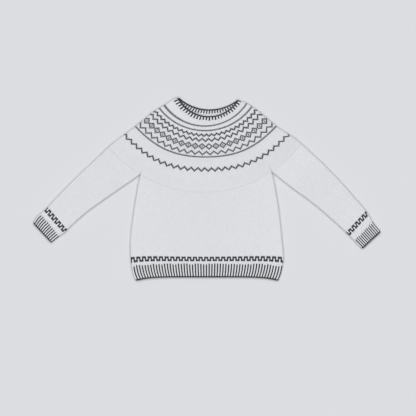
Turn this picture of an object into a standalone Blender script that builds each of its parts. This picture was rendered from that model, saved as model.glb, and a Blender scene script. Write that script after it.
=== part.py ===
"""Nordic yoke sweater, laid flat on its back: body, ribs, sleeves, cuffs, yoke and neckband.

The garment lies in the XY plane with its neck toward +Y and its front up. Every piece is a knitted
wall. A tube of cloth lies as two layers joined by a round fold along the garment's outline, so each
tube is worked out as rings across it: the front layer from one fold to the other, then the back
layer home. Rings, walls and seams are in millimetres, and the meshes are made in metres.
"""

import math
from collections import namedtuple

import bpy
import numpy as np

METRE = 0.001  # metres in one millimetre

# The cloth
PLAIN_WALL = 3.0  # thickness of the plain knitting
RIB_WALL = 4.0  # thickness of the ribbing
FOLD_HEIGHT = 9.6  # both layers and the room in a fold
SETTLED_HEIGHT = 8.4  # both layers well inside the folds
SETTLING = 25.0  # distance over which the front sinks from one to the other
SEAM_GAP = 0.3  # between sewn pieces

# The laid garment's middle, measured from the drafting lines below
MIDDLE_X = -1.35
MIDDLE_Y = 1.17

# Neck and yoke: depths run down the front from the neck edge
NECK_X = 3.0  # the lowest point of every front ring
NECK_FRONT_Y = 254.0
NECK_BACK_RISE = 24.0  # how much higher the back of the neck sits
NECKBAND = 16.0
YOKE_DEPTH = 264.0
YOKE_FULLNESS = 6.0  # how far the fullest ring stands out from its arc, each side of the middle
FULLEST_POWER = 1.94  # puts the fullest ring at 0.7 of the yoke's depth

# Ends of the yoke's rings on the two shoulder lines
YokeRing = namedtuple("YokeRing", "depth left_x left_y right_x right_y")
YOKE_RINGS = (
    YokeRing(0, -101, 321, 108, 313),
    YokeRing(16, -122, 313, 122, 307),
    YokeRing(33, -151, 294, 138, 300),
    YokeRing(49, -168, 284, 156, 289),
    YokeRing(80, -197, 265, 186, 267),
    YokeRing(104, -217, 247, 208, 248),
    YokeRing(141, -251, 220, 241, 221),
    YokeRing(185, -290, 191, 284, 192),
    YokeRing(225, -318, 171, 308, 177),
    YokeRing(264, -345, 149, 329, 159),
)

# Body: its two sides by distance down them, and the lines across it
BodySide = namedtuple("BodySide", "down left_x right_x")
BODY_SIDES = (
    BodySide(0, -234, 225),
    BodySide(18, -238, 230),
    BodySide(61, -246, 238),
    BodySide(125, -256, 249),
    BodySide(230, -268, 261),
    BodySide(272, -269, 265),
    BodySide(320, -265, 264),
    BodySide(350, -259, 258),
    BodySide(374, -250, 249),
)
SIDE = 320.0  # from the underarm to the rib's seam
HEM_RIB = 54.0
RIB_SEAM_Y = -258.0
RIB_SEAM_DROP = 8.0  # how far its ends hang below its middle
HEM_Y = -306.5
HEM_DROP = 13.0
SAG_POWER = 6  # level across the middle, and falling only near the ends

# Sleeves: points on the outer and inner fold, by distance from the yoke
SleeveSection = namedtuple("SleeveSection", "along outer_x outer_y inner_x inner_y")
SLEEVE_SECTIONS = {
    "left": (
        SleeveSection(0, 329, 159, 225, 61),
        SleeveSection(75, 396, 97, 304, -1),
        SleeveSection(135, 438, 55, 353, -36),
        SleeveSection(193, 478, 13, 398, -72),
        SleeveSection(248, 514, -29, 439, -108),
        SleeveSection(303, 551, -71, 481, -146),
        SleeveSection(348, 576, -110, 512, -178),
        SleeveSection(392, 606, -148, 541, -208),
    ),
    "right": (
        SleeveSection(0, -345, 149, -234, 52),
        SleeveSection(54, -376, 118, -286, 16),
        SleeveSection(146, -443, 55, -362, -37),
        SleeveSection(235, -506, -8, -434, -90),
        SleeveSection(294, -546, -50, -478, -130),
        SleeveSection(319, -564, -70, -496, -148),
        SleeveSection(341, -582, -85, -513, -162),
        SleeveSection(363, -597, -100, -529, -175),
        SleeveSection(385, -608, -118, -544, -187),
    ),
}
CUFF = 44.0
ARC_FADE = 120.0  # how far down a sleeve the yoke's curve still shows in its rings
EDGE_ROUNDING = 6.0  # rounded corners of the hem, the cuffs and the neck

# How finely the walls are faceted
FOLD_STEPS = 3  # facets in a quarter turn
BODY_STEPS = 21  # across one layer
SLEEVE_STEPS = 7
YOKE_STEPS = 46
BODY_ROWS = 7  # down the length of each piece
SLEEVE_ROWS = 9
YOKE_ROWS = 7
BAND_ROWS = 1
RIB_ROWS = 2
RING_SAMPLES = 33  # for measuring the length of a ring
OUTLINE_SAMPLES = 36  # for finding the distance to a fold
SHARP_ANGLE = 50.0  # degrees

WOOL_GREY = (0.72, 0.73, 0.76)
WOOL_ROUGHNESS = 0.9


def through(keys, values, at):
    """A smooth line through the rows' values, read at the given keys."""
    keys = np.asarray(keys, float)
    values = np.asarray(values, float)
    slopes = np.gradient(values, keys)
    at = np.asarray(at, float)
    row = np.clip(np.searchsorted(keys, at) - 1, 0, len(keys) - 2)
    span = keys[row + 1] - keys[row]
    t = (at - keys[row]) / span
    start = (1 + 2 * t) * (1 - t) ** 2 * values[row] + t * (1 - t) ** 2 * span * slopes[row]
    end = t * t * (3 - 2 * t) * values[row + 1] - t * t * (1 - t) * span * slopes[row + 1]
    return start + end


def column(table, name):
    return [getattr(row, name) for row in table]


def point(table, key, prefix, at):
    """The point prefix_x, prefix_y of a table, read at one key."""
    keys = column(table, key)
    x = through(keys, column(table, prefix + "_x"), at)
    y = through(keys, column(table, prefix + "_y"), at)
    return np.stack([x, y], axis=-1)


class Arc:
    """The circular arc from left through middle to right, hanging down between its ends."""

    def __init__(self, left, middle, right):
        (ax, ay), (bx, by), (cx, cy) = left, middle, right
        a, b, c = ax * ax + ay * ay, bx * bx + by * by, cx * cx + cy * cy
        twice = 2 * (ax * (by - cy) + bx * (cy - ay) + cx * (ay - by))
        self.x = (a * (by - cy) + b * (cy - ay) + c * (ay - by)) / twice
        self.y = (a * (cx - bx) + b * (ax - cx) + c * (bx - ax)) / twice
        self.radius = math.dist((self.x, self.y), left)
        self.start = math.atan2(ay - self.y, ax - self.x)
        self.end = math.atan2(cy - self.y, cx - self.x)
        self.length = self.radius * (self.end - self.start)

    def at(self, fraction):
        turn = self.start + (self.end - self.start) * np.asarray(fraction)
        return np.stack([self.x + self.radius * np.cos(turn), self.y + self.radius * np.sin(turn)], -1)

    def height_over(self, x):
        return self.y - np.sqrt(self.radius**2 - (x - self.x) ** 2)

    def fraction_over(self, x):
        turn = math.atan2(self.height_over(x) - self.y, x - self.x)
        return (turn - self.start) / (self.end - self.start)


def yoke_arc(depth, back=False):
    """The yoke's ring at this depth: its front half, or its back half, which sits higher."""
    rise = NECK_BACK_RISE * (1 - depth / YOKE_DEPTH) if back else 0.0
    left = point(YOKE_RINGS, "depth", "left", depth)
    right = point(YOKE_RINGS, "depth", "right", depth)
    return Arc(left, (NECK_X, NECK_FRONT_Y - depth + rise), right)


def yoke_ring(depth, back=False):
    """The plan of half a ring: its arc, made fuller between the middle and the shoulders."""
    arc = yoke_arc(depth, back)
    fullness = YOKE_FULLNESS * math.sin(math.pi * (depth / YOKE_DEPTH) ** FULLEST_POWER) ** 2

    def plan(fraction):
        radial = arc.at(fraction) - (arc.x, arc.y)
        swell = fullness / arc.radius * np.sin(2 * math.pi * np.asarray(fraction)) ** 2
        return (arc.x, arc.y) + radial * (1 + swell[..., None])

    return plan


YOKE_BASE = yoke_arc(YOKE_DEPTH)


def sagging(middle, drop, fraction):
    """Height of a line across the body whose ends hang lower than its middle."""
    return middle - drop * (2 * fraction - 1) ** SAG_POWER


def body_sides(level):
    """Left and right x at a level: 0 is the yoke's base, 1 the rib's seam, 2 the hem's edge."""
    down = SIDE * min(level, 1.0) + HEM_RIB * max(level - 1.0, 0.0)
    downs = column(BODY_SIDES, "down")
    return [float(through(downs, column(BODY_SIDES, side), down)) for side in ("left_x", "right_x")]


UNDERARMS = body_sides(0.0)


def body_ring(level, fraction):
    """A ring of the body, from its left fold to its right one. The first follows the yoke's base."""
    fraction = np.asarray(fraction, float)
    left, right = body_sides(level)
    top = YOKE_BASE.height_over(UNDERARMS[0] + (UNDERARMS[1] - UNDERARMS[0]) * fraction)
    seam = sagging(RIB_SEAM_Y, RIB_SEAM_DROP, fraction)
    hem = sagging(HEM_Y, HEM_DROP, fraction)
    height = top + (seam - top) * level if level <= 1 else seam + (hem - seam) * (level - 1)
    return np.stack([left + (right - left) * fraction, height], -1)


def sleeve_ring(side, along, fraction):
    """A ring of a sleeve, from its outer fold to its inner one. The first follows the yoke's base."""
    fraction = np.asarray(fraction, float)[..., None]
    table = SLEEVE_SECTIONS[side]
    outer, inner = (point(table, "along", fold, along) for fold in ("outer", "inner"))
    first_outer, first_inner = (point(table, "along", fold, 0) for fold in ("outer", "inner"))
    ends = (1.0, YOKE_BASE.fraction_over(UNDERARMS[1]))
    if side == "right":
        ends = (0.0, YOKE_BASE.fraction_over(UNDERARMS[0]))
    base = YOKE_BASE.at(ends[0] + (ends[1] - ends[0]) * fraction[..., 0])
    bend = base - (first_outer + (first_inner - first_outer) * fraction)
    still = max(0.0, 1 - along / ARC_FADE)
    return outer + (inner - outer) * fraction + bend * still * still * (3 - 2 * still)


def fold_lines():
    """The outline's folds, as short straight pieces: (starts, ends)."""
    depths = np.linspace(0, YOKE_DEPTH, OUTLINE_SAMPLES)
    lines = [point(YOKE_RINGS, "depth", end, depths) for end in ("left", "right")]
    for side, table in SLEEVE_SECTIONS.items():
        along = np.linspace(0, table[-1].along, OUTLINE_SAMPLES)
        lines += [point(table, "along", fold, along) for fold in ("outer", "inner")]
    levels = np.linspace(0, 2, OUTLINE_SAMPLES)
    for edge in (0.0, 1.0):
        lines.append(np.array([body_ring(level, edge) for level in levels]))
    starts = np.concatenate([line[:-1] for line in lines])
    ends = np.concatenate([line[1:] for line in lines])
    return starts, ends


FOLD_STARTS, FOLD_ENDS = fold_lines()


def distance_to_fold(plan):
    """Distance of each plan point from the nearest fold."""
    run = FOLD_ENDS - FOLD_STARTS
    offset = plan[..., None, :] - FOLD_STARTS
    along = np.clip((offset * run).sum(-1) / (run * run).sum(-1), 0, 1)
    return np.linalg.norm(offset - along[..., None] * run, axis=-1).min(-1)


def front_top(plan):
    """Height of the front's upper face: full at a fold, and settled away from it."""
    beyond = np.maximum(0, distance_to_fold(plan) - FOLD_HEIGHT / 2)
    return SETTLED_HEIGHT + (FOLD_HEIGHT - SETTLED_HEIGHT) * np.exp(-beyond / SETTLING)


Station = namedtuple("Station", "offset share lift layer")


def stations(radius, steps, seam_at_start, seam_at_end):
    """Where a ring's points lie: at offset + share * length across, lifted off the fold's middle.

    The front layer comes first. A fold with a seam starts and ends a little off its middle."""

    def quarter(seam):
        first = math.asin(SEAM_GAP / 2 / radius) if seam else 0.0
        return first + (math.pi / 2 - first) * np.arange(FOLD_STEPS) / FOLD_STEPS

    front = [
        Station(radius * (1 - math.cos(turn)), 0.0, math.sin(turn), 1)
        for turn in quarter(seam_at_start)
    ]
    for share in np.linspace(0, 1, steps + 1):
        front.append(Station(radius * (1 - 2 * share), share, 1.0, 1))
    for turn in quarter(seam_at_end)[::-1]:
        front.append(Station(-radius * (1 - math.cos(turn)), 1.0, math.sin(turn), 1))
    first = 0 if seam_at_start else 1
    last = len(front) if seam_at_end else len(front) - 1
    back = [station._replace(layer=-1) for station in front[first:last]]
    return front + back[::-1]


def ring_points(rings, ring_stations, wall):
    """Middle of the wall at each station of each ring. A ring gives its front and back plan."""
    offset, share, lift, layer = (np.array(values) for values in zip(*ring_stations))
    rows = []
    for front, back in rings:
        row = np.empty((len(offset), 3))
        for plan, which in ((front, layer > 0), (back, layer < 0)):
            coarse = plan(np.linspace(0, 1, RING_SAMPLES))
            length = np.linalg.norm(np.diff(coarse, axis=0), axis=1).sum()
            across = wall / 2 + offset[which] + share[which] * (length - wall)
            row[which, :2] = plan(across / length)
        top = front_top(row[:, :2]) - wall / 2 - FOLD_HEIGHT / 2
        bottom = wall / 2 - FOLD_HEIGHT / 2
        row[:, 2] = FOLD_HEIGHT / 2 + lift * np.where(layer > 0, top, bottom)
        rows.append(row)
    return np.array(rows)


def ring_normals(points, ring_stations):
    """Unit normals of the closed rings, pointing out of the cloth's tube."""
    lift = np.array([station.lift for station in ring_stations])
    middle = points[len(points) // 2]
    steps = np.linalg.norm(np.roll(middle, -1, axis=0) - middle, axis=1)
    wrapped = np.concatenate([points[:, -1:], points, points[:, :1]], axis=1)
    places = np.concatenate([[-steps[-1]], [0.0], np.cumsum(steps)])
    round_ring = np.gradient(wrapped, places, axis=1)[:, 1:-1]
    spacing = np.linalg.norm(np.diff(points, axis=0), axis=2).mean(axis=1)
    down = np.gradient(points, np.concatenate([[0.0], np.cumsum(spacing)]), axis=0)
    normals = np.cross(round_ring, down)
    normals /= np.linalg.norm(normals, axis=2, keepdims=True)
    top = np.argmax(points[..., 2].mean(axis=0) * lift)
    return normals if normals[:, top, 2].mean() > 0 else -normals


def round_corners(points, ring_stations, edge, inward):
    """Draws the edge row back toward its neighbour near the folds."""
    for place, station in enumerate(ring_stations):
        near = abs(station.offset) if station.share in (0.0, 1.0) else EDGE_ROUNDING
        if near >= EDGE_ROUNDING:
            continue
        back = EDGE_ROUNDING - math.sqrt(EDGE_ROUNDING**2 - (EDGE_ROUNDING - near) ** 2)
        run = points[inward, place] - points[edge, place]
        points[edge, place] += run / np.linalg.norm(run) * back


def add_wall(name, points, normals, wall, closed):
    """Makes one solid: the wall round the middle points, half its thickness to each side."""
    rows, across = points.shape[:2]
    outer = points + normals * wall / 2
    inner = points - normals * wall / 2
    places = np.concatenate([outer.reshape(-1, 3), inner.reshape(-1, 3)])
    places[:, 0] -= MIDDLE_X
    places[:, 1] -= MIDDLE_Y

    def index(row, place, side):
        return side * rows * across + row * across + place % across

    faces = []
    cells = across if closed else across - 1
    for row in range(rows - 1):
        for place in range(cells):
            corners = ((row, place), (row, place + 1), (row + 1, place + 1), (row + 1, place))
            faces.append([index(*corner, 0) for corner in corners])
            faces.append([index(*corner, 1) for corner in reversed(corners)])
    for row, turn in ((0, 1), (rows - 1, -1)):
        for place in range(cells):
            rim = [index(row, place, 0), index(row, place, 1)]
            rim += [index(row, place + 1, 1), index(row, place + 1, 0)]
            faces.append(rim[::turn])
    if not closed:
        for place, turn in ((0, -1), (across - 1, 1)):
            for row in range(rows - 1):
                rim = [index(row, place, 0), index(row, place, 1)]
                rim += [index(row + 1, place, 1), index(row + 1, place, 0)]
                faces.append(rim[::turn])
    if outward(places, faces) < 0:
        faces = [face[::-1] for face in faces]
    mesh = bpy.data.meshes.new(name)
    mesh.from_pydata((places * METRE).tolist(), [], faces)
    mesh.shade_smooth()
    mesh.set_sharp_from_angle(angle=math.radians(SHARP_ANGLE))
    mesh.materials.append(wool(name))
    sheet = bpy.data.objects.new(name, mesh)
    bpy.context.scene.collection.objects.link(sheet)


def outward(places, faces):
    """Six times the volume inside the faces: negative where they point in."""
    quads = places[np.array(faces)]
    first = np.einsum("ij,ij->i", quads[:, 0], np.cross(quads[:, 1], quads[:, 2]))
    second = np.einsum("ij,ij->i", quads[:, 0], np.cross(quads[:, 2], quads[:, 3]))
    return (first + second).sum()


def wool(name):
    material = bpy.data.materials.new(name + "_wool")
    material.use_nodes = True
    shader = material.node_tree.nodes["Principled BSDF"]
    shader.inputs["Base Color"].default_value = (*WOOL_GREY, 1.0)
    shader.inputs["Roughness"].default_value = WOOL_ROUGHNESS
    shader.inputs["Metallic"].default_value = 0.0
    return material


def rows_between(start, seam, end, first_rows, second_rows, gap):
    """Places of the rings: first_rows cells up to the seam's gap, then second_rows after it."""
    upper = np.linspace(start, seam - gap / 2, first_rows + 1)
    lower = np.linspace(seam + gap / 2, end, second_rows + 1)
    return np.concatenate([upper, lower]), first_rows + 1


def make_body():
    """Front and back, each with its hem rib: one tube, cut along both side folds."""
    drop = YOKE_BASE.height_over(NECK_X) - RIB_SEAM_Y
    gap = SEAM_GAP / drop
    levels, body_rows = rows_between(gap / 2, 1.0, 2.0, BODY_ROWS, RIB_ROWS, gap)
    levels[body_rows] = 1.0 + SEAM_GAP / 2 / HEM_RIB
    for wall, suffix, rows in (
        (PLAIN_WALL, "", slice(0, body_rows)),
        (RIB_WALL, "hem_rib_", slice(body_rows, None)),
    ):
        places = stations((FOLD_HEIGHT - wall) / 2, BODY_STEPS, True, True)
        rings = [[lambda f, level=level: body_ring(level, f)] * 2 for level in levels]
        points = ring_points(rings, places, wall)
        normals = ring_normals(points, places)
        if suffix:
            round_corners(points, places, -1, -2)
        half = len(places) // 2
        for side, part in (("front", slice(0, half)), ("back", slice(half, None))):
            add_wall(suffix + side, points[rows, part], normals[rows, part], wall, False)


def make_sleeve(side):
    """A sleeve and its cuff: one tube, open along the underarm fold."""
    end = SLEEVE_SECTIONS[side][-1].along
    rows_of = (SLEEVE_ROWS, RIB_ROWS)
    along, sleeve_rows = rows_between(SEAM_GAP / 2, end - CUFF, end, *rows_of, SEAM_GAP)
    for wall, piece, rows in (
        (PLAIN_WALL, "sleeve_", slice(0, sleeve_rows)),
        (RIB_WALL, "cuff_", slice(sleeve_rows, None)),
    ):
        places = stations((FOLD_HEIGHT - wall) / 2, SLEEVE_STEPS, True, False)
        rings = [[lambda f, at=at: sleeve_ring(side, at, 1 - f)] * 2 for at in along]
        points = ring_points(rings, places, wall)
        normals = ring_normals(points, places)
        if piece == "cuff_":
            round_corners(points, places, -1, -2)
        add_wall(piece + side, points[rows], normals[rows], wall, False)


def make_yoke():
    """Yoke and neckband: rings with no seam, folded along both shoulder lines."""
    end = YOKE_DEPTH - SEAM_GAP / 2
    depths, band_rows = rows_between(0.0, NECKBAND, end, BAND_ROWS, YOKE_ROWS, SEAM_GAP)
    for wall, name, rows in (
        (RIB_WALL, "neckband", slice(0, band_rows)),
        (PLAIN_WALL, "yoke", slice(band_rows, None)),
    ):
        places = stations((FOLD_HEIGHT - wall) / 2, YOKE_STEPS, False, False)
        rings = [(yoke_ring(depth), yoke_ring(depth, back=True)) for depth in depths]
        points = ring_points(rings, places, wall)
        normals = ring_normals(points, places)
        if name == "neckband":
            round_corners(points, places, 0, 1)
        add_wall(name, points[rows], normals[rows], wall, True)


def main():
    for item in list(bpy.data.objects):
        bpy.data.objects.remove(item, do_unlink=True)
    make_body()
    for side in ("left", "right"):
        make_sleeve(side)
    make_yoke()


main()
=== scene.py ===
import math
from collections import namedtuple

import bpy
import numpy as np
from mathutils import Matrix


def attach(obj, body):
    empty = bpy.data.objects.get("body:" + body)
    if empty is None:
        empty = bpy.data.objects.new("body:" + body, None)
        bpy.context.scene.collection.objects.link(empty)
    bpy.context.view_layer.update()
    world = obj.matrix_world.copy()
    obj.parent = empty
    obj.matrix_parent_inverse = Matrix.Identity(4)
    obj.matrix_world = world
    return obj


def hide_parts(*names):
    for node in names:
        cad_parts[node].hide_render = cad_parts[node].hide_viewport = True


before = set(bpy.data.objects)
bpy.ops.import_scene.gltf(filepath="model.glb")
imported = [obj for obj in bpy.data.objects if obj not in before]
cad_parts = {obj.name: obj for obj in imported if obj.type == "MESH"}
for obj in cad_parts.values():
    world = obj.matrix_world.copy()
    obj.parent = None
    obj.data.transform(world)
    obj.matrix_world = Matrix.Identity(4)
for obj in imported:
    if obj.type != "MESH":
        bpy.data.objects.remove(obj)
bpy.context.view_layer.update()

# Sizes are in millimetres on the drafting lines, and become metres as each mesh is made.
metre = 0.001
random = np.random.default_rng(11)

laying = {
    "middle": (-1.35, 1.17),  # of the laid garment
    "foldHeight": 9.6,  # both layers and the room in a fold
    "settledHeight": 8.4,  # both layers well inside the folds
    "settling": 25.0,  # distance over which the front sinks
    "plainWall": 3.0,
    "ribWall": 4.0,
    "corner": 3.5,  # rounding of the hem, cuffs and neck at a fold
    "insideSpacing": 11.0,  # between the points of the plain inner face, across
    "insideRounds": 3,  # and how many rounds are between them, down
}


def through(keys, values, at):  # a smooth line through a table's values
    keys = np.asarray(keys, float)
    values = np.asarray(values, float)
    slopes = np.gradient(values, keys)
    at = np.asarray(at, float)
    row = np.clip(np.searchsorted(keys, at) - 1, 0, len(keys) - 2)
    span = keys[row + 1] - keys[row]
    t = (at - keys[row]) / span
    start = (1 + 2 * t) * (1 - t) ** 2 * values[row] + t * (1 - t) ** 2 * span * slopes[row]
    end = t * t * (3 - 2 * t) * values[row + 1] - t * t * (1 - t) * span * slopes[row + 1]
    return start + end


def columnsOf(table, at):  # every further column of a table, read at one key
    keys, *columns = zip(*table)
    return [through(keys, column, at) for column in columns]


yoke = {
    "neckX": 3.0,
    "neckFrontY": 254.0,
    "neckBackRise": 24.0,
    "band": 16.0,
    "depth": 264.0,
    "fullness": 6.0,
    "fullestPower": 1.94,
    # depth, left x, left y, right x, right y: the ends of its rounds on the shoulders
    "rings": [
        (0, -101, 321, 108, 313),
        (16, -122, 313, 122, 307),
        (33, -151, 294, 138, 300),
        (49, -168, 284, 156, 289),
        (80, -197, 265, 186, 267),
        (104, -217, 247, 208, 248),
        (141, -251, 220, 241, 221),
        (185, -290, 191, 284, 192),
        (225, -318, 171, 308, 177),
        (264, -345, 149, 329, 159),
    ],
    # round, depth at which it starts; between these the rounds are even
    "rounds": [
        (0, 16.0), (5, 30.7), (6, 35.3), (10, 46.7), (11, 51.3), (13, 58.6), (17, 71.6),
        (18, 74.0), (23, 89.6), (24, 92.8), (33, 116.2), (34, 119.6), (40, 135.7), (41, 139.0),
        (42, 143.4), (52, 176.4), (57, 194.0), (77, 264.0),
    ],
    # first round, stitches round the whole yoke
    "stitches": [
        (0, 128), (3, 152), (8, 168), (12, 184), (17, 240), (23, 320), (49, 324), (63, 360),
    ],
    # first round, stitches that the chart's middle is moved right, what is knitted: x is dark
    "charts": [
        (5, 0, ["x"]),
        (10, 0, ["x"]),
        (13, 0, ["..x.", ".xxx", "xx.x", "x..."]),
        (18, 2, ["...x..", "..xxx.", ".xx.xx", "xx...x", "x....."]),
        (24, 3, [
            "....x...", "...xxx..", "..xx.xx.", ".xx.x.xx", "xx..x..x",
            ".xx.x.xx", "..xx.xx.", "...xxx..", "....x...",
        ]),
        (34, 0, ["....x...", "...xxx..", "..xx.xx.", ".xx...xx", "xx.....x", "x......."]),
        (41, 0, ["x"]),
        (52, -2, ["...x..", "..xxx.", ".xx.xx", "xx...x", "x....."]),
    ],
    # the front's middle diamond has no dot: first round, round after, stitches right of the middle
    "emptyDiamond": (27, 30, 3),
}

body = {
    # distance down the side, left x, right x
    "sides": [
        (0, -234, 225),
        (18, -238, 230),
        (61, -246, 238),
        (125, -256, 249),
        (230, -268, 261),
        (272, -269, 265),
        (320, -265, 264),
        (350, -259, 258),
        (374, -250, 249),
    ],
    "side": 320.0,
    "rib": 54.0,
    "ribSeamY": -258.0,
    "ribSeamDrop": 8.0,
    "hemY": -306.5,
    "hemDrop": 13.0,
    "sagPower": 6,
    "stitches": 108,  # across the front, and across the back
    "rounds": 78,
    "ribs": 54,
    "ribRounds": 15,
    "charts": [(71, 0, ["xxx.", "xxx.", "x.x.", "x.xx", "x.xx"])],
}

sleeve = {
    # along, outer x, outer y, inner x, inner y
    "left": [
        (0, 329, 159, 225, 61),
        (75, 396, 97, 304, -1),
        (135, 438, 55, 353, -36),
        (193, 478, 13, 398, -72),
        (248, 514, -29, 439, -108),
        (303, 551, -71, 481, -146),
        (348, 576, -110, 512, -178),
        (392, 606, -148, 541, -208),
    ],
    "right": [
        (0, -345, 149, -234, 52),
        (54, -376, 118, -286, 16),
        (146, -443, 55, -362, -37),
        (235, -506, -8, -434, -90),
        (294, -546, -50, -478, -130),
        (319, -564, -70, -496, -148),
        (341, -582, -85, -513, -162),
        (363, -597, -100, -529, -175),
        (385, -608, -118, -544, -187),
    ],
    "cuff": 44.0,
    "arcFade": 120.0,
    "rounds": 97,
    "stitches": [(0, 66), (26, 60), (50, 54), (74, 48)],  # first round, stitches all round
    "ribs": 24,
    "ribRounds": 12,
    "border": ["xxx.", "xxx.", "x.x.", "x.xx", "x.xx"],
    "borderRound": {"left": 86, "right": 88},
}

neckband = {
    "ribs": 52,
    "rounds": 5,
    "insideAcross": [0.0, 0.12, 0.24, 0.36, 0.48, 0.61, 0.74, 0.87],  # of a rib, seen from inside
}


def arcThrough(left, middle, right):  # centre, radius and the turns at its two ends
    (ax, ay), (bx, by), (cx, cy) = left, middle, right
    a, b, c = ax * ax + ay * ay, bx * bx + by * by, cx * cx + cy * cy
    twice = 2 * (ax * (by - cy) + bx * (cy - ay) + cx * (ay - by))
    x = (a * (by - cy) + b * (cy - ay) + c * (ay - by)) / twice
    y = (a * (cx - bx) + b * (ax - cx) + c * (bx - ax)) / twice
    return x, y, np.hypot(ax - x, ay - y), np.arctan2(ay - y, ax - x), np.arctan2(cy - y, cx - x)


def yokeArc(depth, back=False):
    leftX, leftY, rightX, rightY = columnsOf(yoke["rings"], depth)
    rise = yoke["neckBackRise"] * (1 - depth / yoke["depth"]) if back else 0.0
    middle = (yoke["neckX"], yoke["neckFrontY"] - depth + rise)
    return arcThrough((leftX, leftY), middle, (rightX, rightY))


def yokePlan(back):
    def plan(depth, fraction):
        x, y, radius, start, end = yokeArc(depth, back)
        turn = start + (end - start) * fraction
        swell = np.sin(math.pi * (depth / yoke["depth"]) ** yoke["fullestPower"]) ** 2
        fullness = yoke["fullness"] * swell
        reach = radius + fullness * np.sin(2 * math.pi * fraction) ** 2
        return np.stack([x + reach * np.cos(turn), y + reach * np.sin(turn)], -1)

    return plan


baseX, baseY, baseRadius, baseStart, baseEnd = yokeArc(yoke["depth"])


def baseHeight(x):  # the yoke's base where it passes over x
    return baseY - np.sqrt(baseRadius**2 - (x - baseX) ** 2)


def bodyPlan(level, fraction):  # level 0 is the yoke's base, 1 the rib's seam, 2 the hem's edge
    down = body["side"] * np.minimum(level, 1) + body["rib"] * np.maximum(level - 1, 0)
    left, right = columnsOf(body["sides"], down)
    (_, firstLeft, firstRight) = body["sides"][0]
    sag = np.abs(2 * fraction - 1) ** body["sagPower"]
    top = baseHeight(firstLeft + (firstRight - firstLeft) * fraction)
    seam = body["ribSeamY"] - body["ribSeamDrop"] * sag
    hem = body["hemY"] - body["hemDrop"] * sag
    height = np.where(level <= 1, top + (seam - top) * level, seam + (hem - seam) * (level - 1))
    return np.stack(np.broadcast_arrays(left + (right - left) * fraction, height), -1)


def sleevePlan(side):  # from its left fold to its right one, with the cuff pointing down
    table = sleeve[side]
    _, outerX, outerY, innerX, innerY = table[0]
    underarm = np.arctan2(baseHeight(innerX) - baseY, innerX - baseX)
    shoulder = baseEnd if side == "left" else baseStart

    def plan(along, fraction):
        inward = 1 - fraction if side == "left" else fraction
        inward = inward + 0 * along
        ox, oy, ix, iy = columnsOf(table, along)
        turn = shoulder + (underarm - shoulder) * inward
        bendX = baseX + baseRadius * np.cos(turn) - (outerX + (innerX - outerX) * inward)
        bendY = baseY + baseRadius * np.sin(turn) - (outerY + (innerY - outerY) * inward)
        still = np.clip(1 - along / sleeve["arcFade"], 0, 1)
        still = still * still * (3 - 2 * still)
        x = ox + (ix - ox) * inward + bendX * still
        y = oy + (iy - oy) * inward + bendY * still
        return np.stack([x, y], -1)

    return plan


leftSleeve, rightSleeve = sleevePlan("left"), sleevePlan("right")
sleeveEnd = {side: sleeve[side][-1][0] for side in ("left", "right")}


def foldLines():  # the outline's folds, as short straight pieces
    steps = 22
    folds = [
        (yokePlan(False), np.linspace(0, yoke["depth"], steps)),
        (bodyPlan, np.linspace(0, 2, steps)),
        (leftSleeve, np.linspace(0, sleeveEnd["left"], steps)),
        (rightSleeve, np.linspace(0, sleeveEnd["right"], steps)),
    ]
    lines = [plan(rows, np.full(steps, side)) for plan, rows in folds for side in (0.0, 1.0)]
    starts = [line[:-1] for line in lines]
    ends = [line[1:] for line in lines]
    return np.concatenate(starts), np.concatenate(ends)


foldStarts, foldEnds = foldLines()


def distanceToFold(plan):
    run = foldEnds - foldStarts
    runSquared = (run * run).sum(-1)
    flat = plan.reshape(-1, 2)
    nearest = np.empty(len(flat))
    chunk = 8192
    for first in range(0, len(flat), chunk):
        offset = flat[first : first + chunk, None, :] - foldStarts
        along = np.clip((offset * run).sum(-1) / runSquared, 0, 1)
        gap = offset - along[..., None] * run
        nearest[first : first + chunk] = np.sqrt((gap * gap).sum(-1).min(-1))
    return nearest.reshape(plan.shape[:-1])


# Soft troughs (below 0) and ridges of the upper layer: start, end, bow to the left, width, height
upperCreases = [
    ((-237, 45), (-228, 67), 0, 1.7, -3.6),
    ((226.5, 58), (217, 83), 0, 1.7, -3.6),
    ((-216, 34), (-150, -30), 8, 13, -1.1),
    ((-200, 12), (-165, -62), 6, 10, 0.9),
    ((-222, 74), (-160, 118), -6, 12, -0.8),
    ((206, 40), (130, -18), -9, 14, -1.2),
    ((214, 8), (168, -84), -8, 11, 0.8),
    ((208, 86), (158, 122), 5, 11, -0.7),
    ((-268, 48), (-330, 78), 6, 11, -0.9),
    ((262, 52), (322, 84), -5, 12, -1.0),
    ((-404, -62), (-446, -14), -7, 9, -1.1),
    ((-432, -86), (-480, -44), 5, 8, -0.8),
    ((392, -62), (438, -12), 6, 9, -1.0),
    ((424, -92), (474, -58), -6, 9, -0.9),
    ((-498, -128), (-536, -92), 4, 7, 0.8),
    ((494, -140), (536, -104), -4, 7, 0.7),
    ((-190, -150), (-214, -244), 7, 12, -0.8),
    ((176, -132), (206, -240), -8, 13, -0.9),
    ((-96, -196), (-84, -250), 3, 9, -0.6),
    ((44, -182), (38, -248), -3, 10, -0.6),
]
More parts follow.
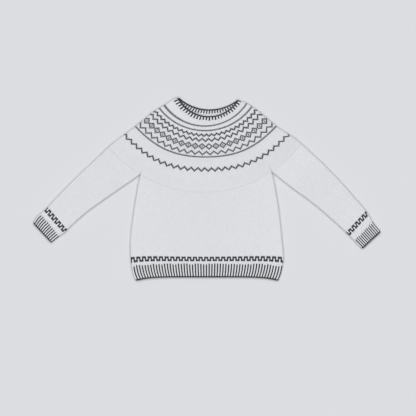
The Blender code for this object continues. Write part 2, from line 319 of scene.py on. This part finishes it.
# The lower layer rests flat, and lifts a little off the surface along these.
lowerCreases = [
    ((-196, 30), (-128, -44), -8, 12, 0.8),
    ((-214, -6), (-176, -84), -5, 10, 0.6),
    ((192, 18), (118, -52), 9, 13, 0.8),
    ((210, -22), (176, -96), 6, 10, 0.6),
    ((-210, 92), (-156, 134), 6, 11, 0.7),
    ((198, 96), (150, 138), -5, 12, 0.6),
    ((-282, 34), (-338, 62), -5, 10, 0.7),
    ((276, 40), (328, 70), 5, 11, 0.8),
    ((-410, -76), (-456, -36), 6, 9, 0.8),
    ((402, -80), (450, -40), -6, 9, 0.7),
    ((-184, -140), (-204, -228), -6, 12, 0.7),
    ((168, -128), (192, -226), 7, 12, 0.6),
    ((-30, -176), (-22, -236), -3, 10, 0.5),
]


def creaseHeight(plan, creases):
    height = np.zeros(plan.shape[:-1])
    for start, end, bow, width, rise in creases:
        run = np.subtract(end, start)
        length = math.hypot(*run)
        offset = plan - start
        t = (offset * run).sum(-1) / length**2
        across = (offset[..., 1] * run[0] - offset[..., 0] * run[1]) / length
        inside = np.clip(t, 0, 1)
        away = across - bow * 4 * inside * (1 - inside)
        height += rise * np.sin(math.pi * inside) * np.exp(-((away / width) ** 2))
    return height


class Tube:  # a knitted tube lying flat: an upper and a lower layer, joined by round folds
    def __init__(self, front, back, wall, freeEnd=None, scale=1.0, outward=1):
        self.plans = (front, back)
        self.wall = wall
        self.turn = (laying["foldHeight"] - wall) / 2  # radius of the wall's middle in a fold
        self.freeEnd, self.scale, self.outward = freeEnd, scale, outward

    def lengths(self, rows):  # of both layers, seen from above
        steps = np.linspace(0, 1, 33)
        lines = [plan(rows, steps) for plan in self.plans]
        return [np.linalg.norm(np.diff(line, axis=1), axis=2).sum(1)[:, None] for line in lines]

    def middle(self, rows, share):  # share is 0 to 1 over the front, 1 to 2 home over the back
        share = share % 2 + 0 * rows
        onFront = share <= 1
        frontLength, backLength = self.lengths(rows)
        planLength = np.where(onFront, frontLength, backLength)
        layer = planLength - laying["foldHeight"] + math.pi * self.turn
        place = np.where(onFront, share, 2 - share) * layer
        near = np.minimum(place, layer - place)
        quarter = math.pi / 2
        angle = np.minimum(near / self.turn, quarter)
        inset = self.wall / 2 + self.turn * (1 - np.cos(angle))
        inset = inset + np.maximum(0, near - quarter * self.turn)
        across = np.where(place < layer / 2, inset, planLength - inset) / planLength
        rows = self.rounded(rows, inset)
        upper, lower = (plan(rows, across) for plan in self.plans)
        plan = np.where(onFront[..., None], upper, lower)
        beyond = np.maximum(0, distanceToFold(plan) - laying["foldHeight"] / 2)
        sunk = laying["foldHeight"] - laying["settledHeight"]
        top = laying["settledHeight"] + sunk * np.exp(-beyond / laying["settling"])
        top = top + creaseHeight(plan, upperCreases)
        lift = creaseHeight(plan, lowerCreases)
        half = laying["foldHeight"] / 2
        rise = np.where(onFront, top - self.wall / 2 - half, lift - self.turn)
        height = half + np.sin(angle) * rise
        return np.concatenate([plan, height[..., None]], -1)

    def rounded(self, rows, inset):  # draws a free edge back at the folds
        if self.freeEnd is None:
            return rows
        corner = laying["corner"]
        near = np.clip(inset - self.wall / 2, 0, corner)
        back = corner - np.sqrt(corner**2 - (corner - near) ** 2)
        fade = np.clip(1 - np.abs(rows - self.freeEnd) * self.scale / (3 * corner), 0, 1)
        return rows - self.outward * back * fade / self.scale


plainKnit = {
    "across": [0.0, 0.25, 0.5, 0.75],  # of one stitch
    "lean": [-2, 0, 2, 0],  # quarter rounds that each point is drawn down, which makes the V
    "crest": [-0.6, 0.45, -0.2, 0.45],  # height in the middle of a round
    "dip": [-0.75, -0.1, -0.35, -0.1],  # height between two rounds
}
ribKnit = {
    "across": [0.0, 0.13, 0.26, 0.39, 0.52, 0.64, 0.76, 0.88],  # of a rib and its furrow
    "lean": [-1, 0, 2, 0, -1, 0, 0, 0],
    "crest": [-0.7, 0.6, 0.1, 0.6, -0.7, -1.35, -1.6, -1.35],
    "dip": [-0.8, 0.2, -0.1, 0.2, -0.8, -1.5, -1.7, -1.5],
}
edging = {
    "seamDepth": -0.15,
    "relief": (0.0, 0.55, 1.0),  # how much of the stitch shows, half round by half round
    "bulge": 1.3,  # of a free edge
    "ribBulge": 0.5,  # how much further a raised stitch stands out there
    "rimTurns": (45, 90, 135),
    "rimRound": 0.4,  # rounds that each row of the rim counts for
}


def unit(vectors):
    return vectors / np.linalg.norm(vectors, axis=-1, keepdims=True)


def knitBlock(tube, span, bounds, repeats, texture, face=1):
    # The outer points of a run of rounds with one stitch count; bounds are where its rounds meet.
    rounds = len(bounds) - 1
    quarters = np.interp(np.arange(4 * rounds + 1) / 4, np.arange(rounds + 1), bounds)
    steps = len(texture["across"])
    along = (np.arange(repeats)[:, None] + np.array(texture["across"])).ravel() / repeats
    along = np.append(along, 1.0)
    share = span[0] + (span[1] - span[0]) * along
    share = np.concatenate([[2 * share[0] - share[1]], share, [2 * share[-1] - share[-2]]])
    lattice = tube.middle(quarters[:, None], share[None, :])
    normals = unit(np.cross(np.gradient(lattice, axis=0), np.gradient(lattice, axis=1)))[:, 1:-1]
    lattice = lattice[:, 1:-1]
    halves = np.arange(2 * rounds + 1)
    fromEnd = np.minimum(halves, halves[::-1])[:, None]
    columns = np.arange(len(along))
    kind = columns % steps
    lean = np.array(texture["lean"])[kind]
    pick = 2 * halves[:, None] + np.rint(lean * np.clip(fromEnd / 2, 0, 1)).astype(int)
    places, normals = lattice[pick, columns], normals[pick, columns]
    crest, dip = np.array(texture["crest"])[kind], np.array(texture["dip"])[kind]
    relief = np.array(edging["relief"])[np.minimum(fromEnd, len(edging["relief"]) - 1)]
    height = np.where(halves[:, None] % 2 == 1, crest, dip) - edging["seamDepth"]
    height = edging["seamDepth"] + height * relief
    below = np.clip((laying["foldHeight"] / 2 - places[..., 2]) / tube.turn, 0, 1)
    height = height - max(texture["crest"]) * below * (face > 0)
    outer = places + face * normals * (tube.wall / 2 + height)[..., None]
    return outer, places, normals, along


def rimRows(places, normals, end, tube, texture):
    # Rows round the free edge at one end, from the outer face to the inner one.
    onward = unit(places[end] - places[1 if end == 0 else -2])
    places, normals = places[end], normals[end]
    kind = np.arange(len(places)) % len(texture["across"])
    bump = 1 + edging["ribBulge"] * (np.array(texture["crest"])[kind] > 0)
    half = tube.wall / 2 + edging["seamDepth"]
    rows = []
    for degrees in edging["rimTurns"]:
        turn = math.radians(degrees)
        out = edging["bulge"] * math.sin(turn) * bump[:, None]
        rows.append(places + normals * half * math.cos(turn) + onward * out)
    return np.array(rows)


def withRim(outer, down, yarn, rim, end):  # a rim is charcoal: a cast-on edge, and painted shadow along the edge; it counts as just over one round
    steps = edging["rimRound"] * np.arange(1, len(rim) + 1)
    dark = np.ones((len(rim), yarn.shape[1]))
    if end == 0:
        down = np.concatenate([down[0] - steps[::-1], down])
        return np.concatenate([rim[::-1], outer]), down, np.concatenate([dark, yarn])
    down = np.concatenate([down, down[-1] + steps])
    return np.concatenate([outer, rim]), down, np.concatenate([yarn, dark])


def zipped(first, second):  # triangles between two rows of points, numbered as if laid end to end
    a, b = 0, 0
    triangles = []
    while a < len(first) - 1 or b < len(second) - 1:
        onFirst = b == len(second) - 1 or (a < len(first) - 1 and first[a + 1] <= second[b + 1])
        triangles.append((a, len(first) + b, a + 1 if onFirst else len(first) + b + 1))
        a, b = a + onFirst, b + (not onFirst)
    return np.array(triangles)


Band = namedtuple("Band", "bounds repeats yarn")  # rounds with one stitch count
Row = namedtuple("Row", "index along down spot")


class Cloth:  # gathers one piece's mesh
    def __init__(self):
        self.points, self.faces = [], []
        self.count = 0

    def addPoints(self, places):
        index = np.arange(self.count, self.count + places[..., 0].size).reshape(places.shape[:-1])
        self.points.append(places.reshape(-1, 3))
        self.count += index.size
        return index

    def addFaces(self, index, stitch, spot, yarn, flat=False):
        sides = index.shape[1]
        self.faces.append((index, stitch, spot, np.broadcast_to(yarn, len(index)), sides, flat))

    def addGrid(self, index, stitch, spot, yarn):
        def corners(values):
            four = (values[:-1, :-1], values[1:, :-1], values[1:, 1:], values[:-1, 1:])
            return np.stack(four, 2).reshape((-1, 4) + values.shape[2:])

        self.addFaces(corners(index), corners(stitch), corners(spot), yarn.ravel())

    def addZip(self, first, second, stitches, yarn=0.0, flat=False):
        pick = zipped(first.along, second.along)
        index = np.concatenate([first.index, second.index])[pick]
        along = np.concatenate([first.along, second.along])
        down = np.concatenate([np.full(len(row.along), row.down) for row in (first, second)])
        stitch = stitchPlaces(along * stitches, down, False)[pick]
        spot = np.concatenate([first.spot, second.spot])[pick]
        self.addFaces(index, stitch, spot, yarn, flat)

    def make(self, name, material):
        points = np.concatenate(self.points) - (*laying["middle"], 0.0)
        mesh = bpy.data.meshes.new(name)
        mesh.vertices.add(len(points))
        mesh.vertices.foreach_set("co", (points * metre).astype(np.float32).ravel())
        loops = np.concatenate([face[0].ravel() for face in self.faces])
        sizes = np.concatenate([np.full(len(face[0]), face[4]) for face in self.faces])
        mesh.loops.add(len(loops))
        mesh.loops.foreach_set("vertex_index", loops.astype(np.int32))
        mesh.polygons.add(len(sizes))
        mesh.polygons.foreach_set("loop_start", (np.cumsum(sizes) - sizes).astype(np.int32))
        mesh.update(calc_edges=True)
        mesh.shade_smooth()
        flat = np.concatenate([np.full(len(face[0]), face[5]) for face in self.faces])
        mesh.polygons.foreach_set("use_smooth", ~flat)
        stitch = np.concatenate([face[1].reshape(-1, 3) for face in self.faces])
        attribute = mesh.attributes.new("stitch", "FLOAT_VECTOR", "CORNER")
        attribute.data.foreach_set("vector", stitch.astype(np.float32).ravel())
        yarn = np.concatenate([face[3] for face in self.faces])
        attribute = mesh.attributes.new("yarn", "FLOAT", "FACE")
        attribute.data.foreach_set("value", yarn.astype(np.float32))
        spot = np.concatenate([face[2].reshape(-1, 2) for face in self.faces])
        layer = mesh.uv_layers.new(name="OFBake")
        layer.data.foreach_set("uv", spot.astype(np.float32).ravel())
        mesh.materials.append(material)
        piece = bpy.data.objects.new(name, mesh)
        bpy.context.scene.collection.objects.link(piece)
        return piece


mapBands = {  # where each part of a piece lies on its baking map, bottom to top
    "outer": (0.01, 0.85),
    "lowerRim": (0.86, 0.875),
    "inner": (0.885, 0.965),
    "upperRim": (0.975, 0.99),
    "side": 0.008,
    "rims": 2.0,  # rounds left at each end of the outer face for a rim
}


def spots(along, down, band):  # along and down run from 0 to 1
    side = mapBands["side"] * 1.5
    low, high = mapBands[band]
    across = side + (1 - 2 * side) * along
    return np.stack(np.broadcast_arrays(across, low + (high - low) * down), -1)


def stitchPlaces(across, down, inside):
    return np.stack(np.broadcast_arrays(across, down, float(inside)), -1)


class Knitting(Cloth):  # one piece: a stitched outer face, an inner one, and what joins them
    def __init__(self, tube, span, bands, texture, freeBottom=False, freeTop=False, lining=None):
        super().__init__()
        self.tube, self.span, self.bands, self.texture = tube, span, bands, texture
        self.freeTop, self.freeBottom, self.lining = freeTop, freeBottom, lining
        self.ring = lining is not None
        self.perRepeat = len(texture["across"]) / 4  # stitches
        self.rounds = sum(len(band.bounds) - 1 for band in bands)
        self.bounds = np.concatenate([bands[0].bounds] + [band.bounds[1:] for band in bands[1:]])

    def addRows(self, points):  # a ring's rows close on themselves
        if not self.ring:
            return self.addPoints(points)
        index = self.addPoints(points[:, :-1])
        return np.concatenate([index, index[:, :1]], 1)

    def addOuter(self):
        firstRound, previous, sides = 0, None, []
        for number, band in enumerate(self.bands):
            rounds = len(band.bounds) - 1
            outer, places, normals, along = knitBlock(
                self.tube, self.span, band.bounds, band.repeats, self.texture
            )
            down, yarn = firstRound + np.arange(2 * rounds + 1) / 2, band.yarn
            free = (self.freeTop and number == 0, self.freeBottom and number == len(self.bands) - 1)
            for end in [end for end, isFree in zip((0, -1), free) if isFree]:
                rim = rimRows(places, normals, end, self.tube, self.texture)
                outer, down, yarn = withRim(outer, down, yarn, rim, end)
            if previous is not None:
                outer, down, yarn = outer[1:], down[1:], yarn[1:]
            index = self.addRows(outer)
            reach = (down + mapBands["rims"]) / (self.rounds + 2 * mapBands["rims"])
            spot = spots(along, reach[:, None], "outer")
            stitches = band.repeats * self.perRepeat
            self.addGrid(index, stitchPlaces(along * stitches, down[:, None], False), spot, yarn)
            first, last = (Row(index[k], along, down[k], spot[k]) for k in (0, -1))
            if previous is None:
                self.top = first
            else:
                self.addZip(previous, first, stitches)
            sides.append((index[:, 0], index[:, -1], reach))
            previous = last
            firstRound += rounds
        self.bottom = previous
        self.sides = [np.concatenate(parts) for parts in zip(*sides)]

    def plainInner(self):
        topWidth = self.tube.lengths(np.array([[self.bounds[0]]]))[0][0, 0]
        count = max(4, round(topWidth * (self.span[1] - self.span[0]) / laying["insideSpacing"]))
        rowCount = max(3, len(self.bounds) // laying["insideRounds"])
        rows = np.linspace(self.bounds[-1], self.bounds[0], rowCount)
        along = np.linspace(0, 1, count + 1)
        share = self.span[0] + (self.span[1] - self.span[0]) * along
        lattice = self.tube.middle(rows[:, None], share[None, :])
        normals = unit(np.cross(np.gradient(lattice, axis=0), np.gradient(lattice, axis=1)))
        inner = lattice + normals * self.tube.wall / 2
        return inner, along, np.linspace(self.rounds, 0, rowCount), np.zeros((rowCount - 1, count))

    def ribbedInner(self):
        texture, yarn = self.lining
        inner, _, _, along = knitBlock(
            self.tube, self.span, self.bounds, self.bands[0].repeats, texture, face=-1
        )
        return inner[::-1], along, np.arange(2 * self.rounds, -1, -1) / 2, yarn[::-1]

    def addInner(self):  # from the bottom up, so that both faces and their rims run on as one
        inner, along, down, yarn = self.ribbedInner() if self.lining else self.plainInner()
        index = self.addRows(inner)
        stitches = self.bands[0].repeats * self.perRepeat
        spot = spots(along, (1 - down / self.rounds)[:, None], "inner")
        self.addGrid(index, stitchPlaces(along * stitches, down[:, None], True), spot, yarn)
        lower = (self.bottom, index[0], "lowerRim", self.freeBottom)
        upper = (self.top, index[-1], "upperRim", self.freeTop)
        for outerRow, innerIndex, part, free in (lower, upper):
            first = outerRow._replace(spot=spots(outerRow.along, 0.0, part))
            second = Row(innerIndex, along, outerRow.down, spots(along, 1.0, part))
            pair = (first, second) if part == "lowerRim" else (second, first)
            # a free end's rim is charcoal, also standing as painted shadow along the edge; a closed
            # one keeps the ground
            self.addZip(*pair, stitches, yarn=float(free), flat=not free)
        if not self.ring:
            self.addSides(index[::-1], down[::-1] / self.rounds)

    def addSides(self, inner, innerReach):
        low, high = mapBands["outer"]
        reach = self.sides[2]
        along = (reach - reach[0]) / (reach[-1] - reach[0])
        for end, edge, inset in ((0, 0.0, mapBands["side"]), (-1, 1.0, 1 - mapBands["side"])):
            outerSpot, innerSpot = (
                np.stack([np.full(len(down), across), low + (high - low) * down], -1)
                for across, down in ((edge, reach), (inset, innerReach))
            )
            outerRow = Row(self.sides[abs(end)], along, 0.0, outerSpot)
            innerRow = Row(inner[:, end], innerReach, 1.0, innerSpot)
            pair = (outerRow, innerRow) if end == 0 else (innerRow, outerRow)
            self.addZip(*pair, self.rounds, flat=True)

    def flatCut(self):  # widest round, length and area of the cloth's middle, laid out
        rows = np.linspace(self.bounds[0], self.bounds[-1], 60)
        lattice = self.tube.middle(rows[:, None], np.linspace(*self.span, 240)[None, :])
        across, down = np.diff(lattice, axis=1), np.diff(lattice, axis=0)
        width = np.linalg.norm(across, axis=2).sum(1).max()
        length = np.linalg.norm(down, axis=2).sum(0).max()
        diagonals = lattice[1:, 1:] - lattice[:-1, :-1], lattice[1:, :-1] - lattice[:-1, 1:]
        area = np.linalg.norm(np.cross(*diagonals), axis=2).sum() / 2
        return width * metre, length * metre, area * metre**2


def knitPiece(name, node, slot, knitting):
    knitting.addOuter()
    knitting.addInner()
    piece = knitting.make(name, {"knit": knitWool, "rib": ribWool}[slot])
    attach(piece, "root")
    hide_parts(node)
    width, length, area = knitting.flatCut()
    triangles = sum(len(face[0]) * (face[4] - 2) for face in knitting.faces)
    print(f"{name}: {triangles} triangles, cut {width:.3f} x {length:.3f} m, {area:.4f} m2")


def colourwork(charts, firstRound, rounds, firstStitch, stitches, centre):
    # Which stitches are dark. A chart is centred on one stitch, counted from the front's left.
    dark = np.zeros((rounds, stitches))
    for start, moved, chart in charts:
        for line, pattern in enumerate(chart):
            row = start + line - firstRound
            if 0 <= row < rounds:
                marks = np.array([mark == "x" for mark in pattern])
                column = firstStitch + np.arange(stitches) - centre - moved + len(marks) // 2
                dark[row] = marks[column % len(marks)]
    return dark


def plainYarn(dark):
    return np.repeat(np.repeat(dark, 2, axis=0), len(plainKnit["across"]), axis=1)


def ribYarnAndShade(rounds, ribs, freeTop=False, freeBottom=True, late=2):
    # Charcoal furrows, each starting a little late, and a charcoal edge: a two-colour rib and
    # cast-on, which also stand as painted shade in the furrows and painted shadow along the edge.
    steps = len(ribKnit["across"])
    yarn = np.zeros((2 * rounds, ribs, steps))
    starts = random.integers(0, late + 1, ribs) + 1
    for rib, start in enumerate(starts):
        run = slice(start, None) if freeBottom else slice(0, 2 * rounds - start)
        # the furrow's columns take the charcoal: a two-colour rib, and painted shade in the furrow
        yarn[run, rib, 4:] = 1
    yarn = yarn.reshape(2 * rounds, -1)
    # the edge rounds are charcoal: a charcoal cast-on, and painted shadow along the edge
    if freeTop:
        yarn[:2] = 1
    if freeBottom:
        yarn[-2:] = 1
    return yarn


wool = {
    "ground": (0.714, 0.721, 0.750),  # pale ash grey
    "contrastAndShade": (0.030, 0.031, 0.035),  # charcoal yarn, which also paints shade in the rib furrows and along the free edges
    "fleck": 0.07,  # how far the heather strays from the yarn's colour
    "stitchChange": 0.06,  # and one stitch from the next
    "roughness": 0.95,
    "sheen": 0.12,
    "sheenRoughness": 0.5,
    "fleckSize": 0.9,
    "fibreSize": 0.35,
    "twists": 2.5,  # turns of the yarn in a round
    "twistLag": 3.0,  # turns between the side of a stitch and its middle
    "twistHeight": 0.12,
    "purl": 2.0,  # how much bolder the inside is
    "fibreHeight": 0.10,
}


class Wire:  # a node's output, for sums
    def __init__(self, finish, socket):
        self.finish, self.socket = finish, socket

    def maths(self, operation, *values):
        return self.finish.add("ShaderNodeMath", {"operation": operation}, dict(enumerate(values)))

    def __add__(self, other):
        return self.maths("ADD", self, other)

    def __sub__(self, other):
        return self.maths("SUBTRACT", self, other)

    def __rsub__(self, other):
        return self.maths("SUBTRACT", other, self)

    def __mul__(self, other):
        return self.maths("MULTIPLY", self, other)

    __radd__, __rmul__ = __add__, __mul__


class Finish:  # one material and its nodes
    def __init__(self, name):
        self.material = bpy.data.materials.new(name)
        self.material.use_nodes = True
        self.tree = self.material.node_tree
        self.shader = self.tree.nodes["Principled BSDF"]

    def add(self, kind, settings, inputs, output=0):
        node = self.tree.nodes.new(kind)
        for key, value in settings.items():
            setattr(node, key, value)
        self.feed(node, inputs)
        return Wire(self, node.outputs[output])

    def feed(self, node, inputs):
        for key, value in inputs.items():
            if isinstance(value, Wire):
                self.tree.links.new(value.socket, node.inputs[key])
            else:
                node.inputs[key].default_value = value

    def mixed(self, factor, first, second):
        inputs = {0: factor, 6: first, 7: second}
        return self.add("ShaderNodeMix", {"data_type": "RGBA"}, inputs, 2)

    def noise(self, place, size, detail):
        inputs = {"Vector": place, "Scale": 1 / (size * metre), "Detail": detail}
        return self.add("ShaderNodeTexNoise", {}, inputs)


def woolFinish(name):
    finish = Finish(name)
    place = finish.add("ShaderNodeTexCoord", {}, {}, "Object")
    stitch = finish.add("ShaderNodeAttribute", {"attribute_name": "stitch"}, {}, "Vector")
    yarn = finish.add("ShaderNodeAttribute", {"attribute_name": "yarn"}, {}, "Fac")
    cell = finish.add("ShaderNodeVectorMath", {"operation": "FLOOR"}, {0: stitch})
    odd = finish.add("ShaderNodeTexWhiteNoise", {"noise_dimensions": "3D"}, {"Vector": cell})
    flecks = finish.noise(place, wool["fleckSize"], 3.0)
    # the dark colour is the charcoal yarn, and also the painted shade of the rib furrows and free
    # edges
    colour = finish.mixed(yarn, (*wool["ground"], 1), (*wool["contrastAndShade"], 1))
    level = 1 + (odd - 0.5) * wool["stitchChange"] + (flecks - 0.5) * (4 * wool["fleck"])
    # The colour goes through vector maths, which also scales it.
    colour = finish.add("ShaderNodeVectorMath", {"operation": "SCALE"}, {0: colour, "Scale": level})
    across = finish.add("ShaderNodeSeparateXYZ", {}, {0: stitch})
    down, inside = (Wire(finish, across.socket.node.outputs[axis]) for axis in (1, 2))
    fold = across.maths("PINGPONG", across, 0.5)  # distance from the side of a stitch
    twist = across.maths("SINE", (down * wool["twists"] + fold * wool["twistLag"]) * (2 * math.pi))
    purl = across.maths("SINE", down * (2 * math.pi)) * wool["purl"]
    fibres = finish.noise(place, wool["fibreSize"], 2.0)
    height = (twist * (1 - inside) + purl * inside) * wool["twistHeight"]
    height = height + fibres * wool["fibreHeight"]
    bump = finish.add("ShaderNodeBump", {}, {"Strength": 1.0, "Distance": metre, "Height": height})
    finish.feed(
        finish.shader,
        {
            "Base Color": colour,
            "Normal": bump,
            "Roughness": wool["roughness"],
            "Sheen Weight": wool["sheen"],
            "Sheen Roughness": wool["sheenRoughness"],
            "Specular IOR Level": 0.2,
        },
    )
    return finish.material


knitWool, ribWool = woolFinish("knitWool"), woolFinish("ribWool")
plainWall, ribWall = laying["plainWall"], laying["ribWall"]


def yokeBands(half):
    bands = []
    stitches = yoke["stitches"] + [(yoke["rounds"][-1][0], 0)]
    rounds, depths = zip(*yoke["rounds"])
    for (first, count), (last, _) in zip(stitches, stitches[1:]):
        across = count // 2
        dark = colourwork(yoke["charts"], first, last - first, half * across, across, across // 2)
        start, end, moved = yoke["emptyDiamond"]
        if half == 0 and first <= start < last:
            dark[start - first : end - first, across // 2 + moved] = 0
        bounds = np.interp(np.arange(first, last + 1), rounds, depths)
        bands.append(Band(bounds, across, plainYarn(dark)))
    return bands


def makeYoke():
    tube = Tube(yokePlan(False), yokePlan(True), plainWall)
    back = Knitting(tube, (1, 2), yokeBands(1), plainKnit)
    knitPiece("yokeBack", "yoke", "knit", back)
    front = Knitting(tube, (0, 1), yokeBands(0), plainKnit)
    knitPiece("yokeFront", "yoke", "knit", front)


def makeNeckband():
    tube = Tube(yokePlan(False), yokePlan(True), ribWall, freeEnd=0.0, outward=-1)
    ribs, rounds = neckband["ribs"], neckband["rounds"]
    yarn = ribYarnAndShade(rounds, ribs, freeTop=True, freeBottom=False, late=1)
    half = len(ribKnit["across"]) // 2
    insideRib = {key: values[half:] + values[:half] for key, values in ribKnit.items()}
    insideRib["across"] = neckband["insideAcross"]
    # on the inside the charcoal lies in the inside's furrows: painted shade that follows the
    # recesses
    insideYarnAndShade = np.roll(yarn.reshape(2 * rounds, ribs, -1), half, axis=2).reshape(2 * rounds, -1)
    band = Band(np.linspace(0, yoke["band"], rounds + 1), ribs, yarn)
    lining = (insideRib, insideYarnAndShade)
    ring = Knitting(tube, (0, 2), [band], ribKnit, freeTop=True, lining=lining)
    knitPiece("neckRib", "neckband", "rib", ring)


def makeBody():
    tube = Tube(bodyPlan, bodyPlan, plainWall)
    ribTube = Tube(bodyPlan, bodyPlan, ribWall, freeEnd=2.0, scale=body["rib"])
    across, ribs = body["stitches"], body["ribs"]
    for half, side in enumerate(("Front", "Back")):
        span = (half, half + 1)
        dark = colourwork(body["charts"], 0, body["rounds"], half * across, across, across // 2)
        band = Band(np.linspace(0, 1, body["rounds"] + 1), across, plainYarn(dark))
        panel = Knitting(tube, span, [band], plainKnit)
        knitPiece("body" + side, side.lower(), "knit", panel)
        bounds = np.linspace(1, 2, body["ribRounds"] + 1)
        band = Band(bounds, ribs, ribYarnAndShade(body["ribRounds"], ribs))
        rib = Knitting(ribTube, span, [band], ribKnit, freeBottom=True)
        knitPiece("hemRib" + side, "hem_rib_" + side.lower(), "rib", rib)


def makeSleeve(side, plan, start):
    length = sleeveEnd[side] - sleeve["cuff"]
    stitches = sleeve["stitches"] + [(sleeve["rounds"], 0)]
    charts = [(sleeve["borderRound"][side], 0, sleeve["border"])]
    bands = []
    for (first, count), (last, _) in zip(stitches, stitches[1:]):
        front = count // 4 if side == "left" else count - count // 4
        dark = colourwork(charts, first, last - first, 0, count, front)
        bounds = np.arange(first, last + 1) * length / sleeve["rounds"]
        bands.append(Band(bounds, count, plainYarn(dark)))
    span = (start, start + 2)
    tube = Knitting(Tube(plan, plan, plainWall), span, bands, plainKnit)
    knitPiece("sleeve" + side.capitalize(), "sleeve_" + side, "knit", tube)
    bounds = np.linspace(length, sleeveEnd[side], sleeve["ribRounds"] + 1)
    band = Band(bounds, sleeve["ribs"], ribYarnAndShade(sleeve["ribRounds"], sleeve["ribs"]))
    ribTube = Tube(plan, plan, ribWall, freeEnd=sleeveEnd[side])
    cuff = Knitting(ribTube, span, [band], ribKnit, freeBottom=True)
    knitPiece("cuff" + side.capitalize(), "cuff_" + side, "rib", cuff)


makeYoke()
makeNeckband()
makeBody()
makeSleeve("left", leftSleeve, 0)
makeSleeve("right", rightSleeve, 1)

room = {
    "viewWidth": 1456.0,  # what the camera sees across, at the cloth
    "viewCentre": (3.97, -66.8),
    "lens": 120.0,
    "sensor": 36.0,
    "floorSize": 60.0,
    "floorTone": (0.66, 0.667, 0.694),
    "lamps": 8,  # a ring of soft lamps, a little brighter at the upper left
    "lampElevation": 50.0,
    "lampAngle": 22.0,
    "lampStrength": 0.48,
    "brightestFrom": 125.0,  # degrees round from +X
    "brighter": 0.15,
    "skyStrength": 0.15,
}


def makeFloor():
    mesh = bpy.data.meshes.new("floor")
    half = room["floorSize"] / 2
    corners = [(-half, -half, 0), (half, -half, 0), (half, half, 0), (-half, half, 0)]
    mesh.from_pydata(corners, [], [(0, 1, 2, 3)])
    finish = Finish("paper")
    finish.feed(
        finish.shader,
        {"Base Color": (*room["floorTone"], 1), "Roughness": 1.0, "Specular IOR Level": 0.0},
    )
    mesh.materials.append(finish.material)
    floor = bpy.data.objects.new("floor", mesh)
    bpy.context.scene.collection.objects.link(floor)


def makeCamera():
    data = bpy.data.cameras.new("camera")
    data.lens = room["lens"]
    data.sensor_width = room["sensor"]
    camera = bpy.data.objects.new("camera", data)
    x, y = room["viewCentre"]
    away = room["viewWidth"] * room["lens"] / room["sensor"]
    camera.location = (x * metre, y * metre, away * metre)
    bpy.context.scene.collection.objects.link(camera)
    bpy.context.scene.camera = camera


def makeLights():
    tilt = math.radians(90 - room["lampElevation"])
    for number in range(room["lamps"]):
        turn = 2 * math.pi * number / room["lamps"]
        bias = 1 + room["brighter"] * math.cos(turn - math.radians(room["brightestFrom"]))
        data = bpy.data.lights.new(f"lamp{number}", "SUN")
        data.energy = room["lampStrength"] * bias
        data.angle = math.radians(room["lampAngle"])
        lamp = bpy.data.objects.new(f"lamp{number}", data)
        lamp.rotation_euler = (0, tilt, turn)
        bpy.context.scene.collection.objects.link(lamp)
    world = bpy.data.worlds.new("sky")
    world.use_nodes = True
    background = world.node_tree.nodes["Background"]
    background.inputs["Color"].default_value = (1, 1, 1, 1)
    background.inputs["Strength"].default_value = room["skyStrength"]
    bpy.context.scene.world = world
    bpy.context.scene.view_settings.view_transform = "Standard"


makeFloor()
makeCamera()
makeLights()
print("room, camera and lights made")
